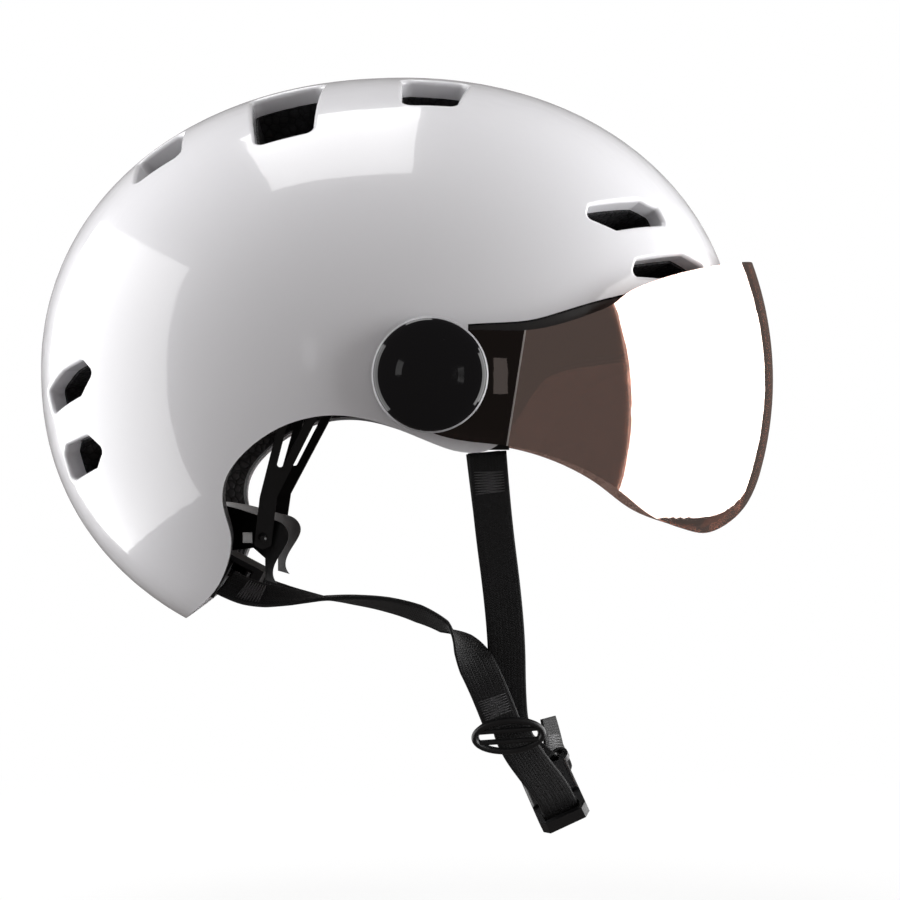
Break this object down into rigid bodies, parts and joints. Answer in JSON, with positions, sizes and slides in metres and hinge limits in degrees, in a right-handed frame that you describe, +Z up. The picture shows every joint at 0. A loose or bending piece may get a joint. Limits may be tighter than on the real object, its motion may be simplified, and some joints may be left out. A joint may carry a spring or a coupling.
{
  "type": "cycling helmet",
  "caption": "White vented cycling helmet with a mirrored visor that tilts up, a foam liner, a dial-adjusted rear cradle and a webbing chin strap with a side-release buckle.",
  "frame": {"origin": "middle of the head cavity, level with the visor's pivots", "axes": "+X the helmet's front, +Y the wearer's left, +Z up"},
  "size_m": [0.3, 0.237, 0.3109],
  "materials": {
    "shell_white": "clear gloss",
    "foam_black": "fine moulded foam",
    "brow_black": "satin",
    "lens_mirror": "smoke brown with a mirror coat",
    "cap_black": "high gloss",
    "trim_grey": "satin metallic",
    "steel": "turned",
    "brass": "turned",
    "hardware_black": "fine satin",
    "dial_grey": "satin",
    "pad_fabric": "brushed knit",
    "webbing_black": "woven webbing"
  },
  "bodies": {
    "helmet": {"outer_shell": "shell_white", "foam_liner": "foam_black", "brow_shell": "brow_black", "pivot_screw_right": "steel", "pivot_screw_left": "steel", "pivot_nut_right": "brass", "pivot_nut_left": "brass", "pivot_base_right": "hardware_black", "pivot_base_left": "hardware_black", "yoke_pin_right": "hardware_black", "yoke_pin_left": "hardware_black", "headband_pin_right": "hardware_black", "headband_pin_left": "hardware_black", "headband": "hardware_black", "front_anchor_right": "hardware_black", "front_anchor_left": "hardware_black", "rear_anchor_right": "hardware_black", "rear_anchor_left": "hardware_black", "strap_divider_right": "hardware_black", "strap_divider_left": "hardware_black", "buckle_plug": "hardware_black", "buckle_housing": "hardware_black", "brow_pad": "pad_fabric", "crown_pad": "pad_fabric", "rear_pad": "pad_fabric", "side_pad_right": "pad_fabric", "side_pad_left": "pad_fabric", "front_strap_right": "webbing_black", "front_strap_left": "webbing_black", "rear_strap_right": "webbing_black", "rear_strap_left": "webbing_black"},
    "visor": {"visor_lens": "lens_mirror", "pivot_cap_right": "cap_black", "pivot_cap_left": "cap_black", "pivot_ring_right": "trim_grey", "pivot_ring_left": "trim_grey", "pivot_washer_right": "hardware_black", "pivot_washer_left": "hardware_black"},
    "cradle": {"cradle": "hardware_black", "dial_cover": "hardware_black", "dial_screws": "steel", "yoke_right": "hardware_black", "yoke_left": "hardware_black", "cradle_pin_right": "hardware_black", "cradle_pin_left": "hardware_black"},
    "dial": {"dial_knob": "dial_grey", "dial_pinion": "hardware_black"},
    "rack_right": {"rack_band_right": "hardware_black"},
    "rack_left": {"rack_band_left": "hardware_black"},
    "prong_front": {"buckle_prong_front": "hardware_black"},
    "prong_rear": {"buckle_prong_rear": "hardware_black"}
  },
  "joints": [
    {"name": "visor_tilt", "type": "hinge", "parent": "helmet", "child": "visor", "pos_m": [0.0185, 0, 0], "axis": [0, -1, 0], "range_deg": [0, 48]},
    {"name": "cradle_swing", "type": "hinge", "parent": "helmet", "child": "cradle", "pos_m": [-0.0295, 0, -0.0059], "axis": [0, 1, 0], "range_deg": [-6, 3], "stiffness_Nm_per_rad": 0.6},
    {"name": "dial_turn", "type": "hinge", "parent": "cradle", "child": "dial", "pos_m": [-0.067, 0, -0.0815], "axis": [-0.4695, 0, -0.8829], "range_deg": [-90, 90]},
    {"name": "rack_left_slide", "type": "slide", "parent": "cradle", "child": "rack_left", "axis": [0, 1, 0], "range_m": [-0.0095, 0.0095]},
    {"name": "rack_right_slide", "type": "slide", "parent": "cradle", "child": "rack_right", "axis": [0, -1, 0], "range_m": [-0.0095, 0.0095]},
    {"name": "prong_front_press", "type": "hinge", "parent": "helmet", "child": "prong_front", "pos_m": [0.07735, 0.01224, -0.17166], "axis": [-0.3286, -0.6297, 0.7039], "range_deg": [0, 9], "stiffness_Nm_per_rad": 0.05},
    {"name": "prong_rear_press", "type": "hinge", "parent": "helmet", "child": "prong_rear", "pos_m": [0.06431, 0.01224, -0.17776], "axis": [0.3286, 0.6297, -0.7039], "range_deg": [0, 9], "stiffness_Nm_per_rad": 0.05}
  ],
  "couplings": [
    {"joint": "rack_left_slide", "follows": "dial_turn", "m_per_rad": 0.006},
    {"joint": "rack_right_slide", "follows": "dial_turn", "m_per_rad": 0.006}
  ]
}
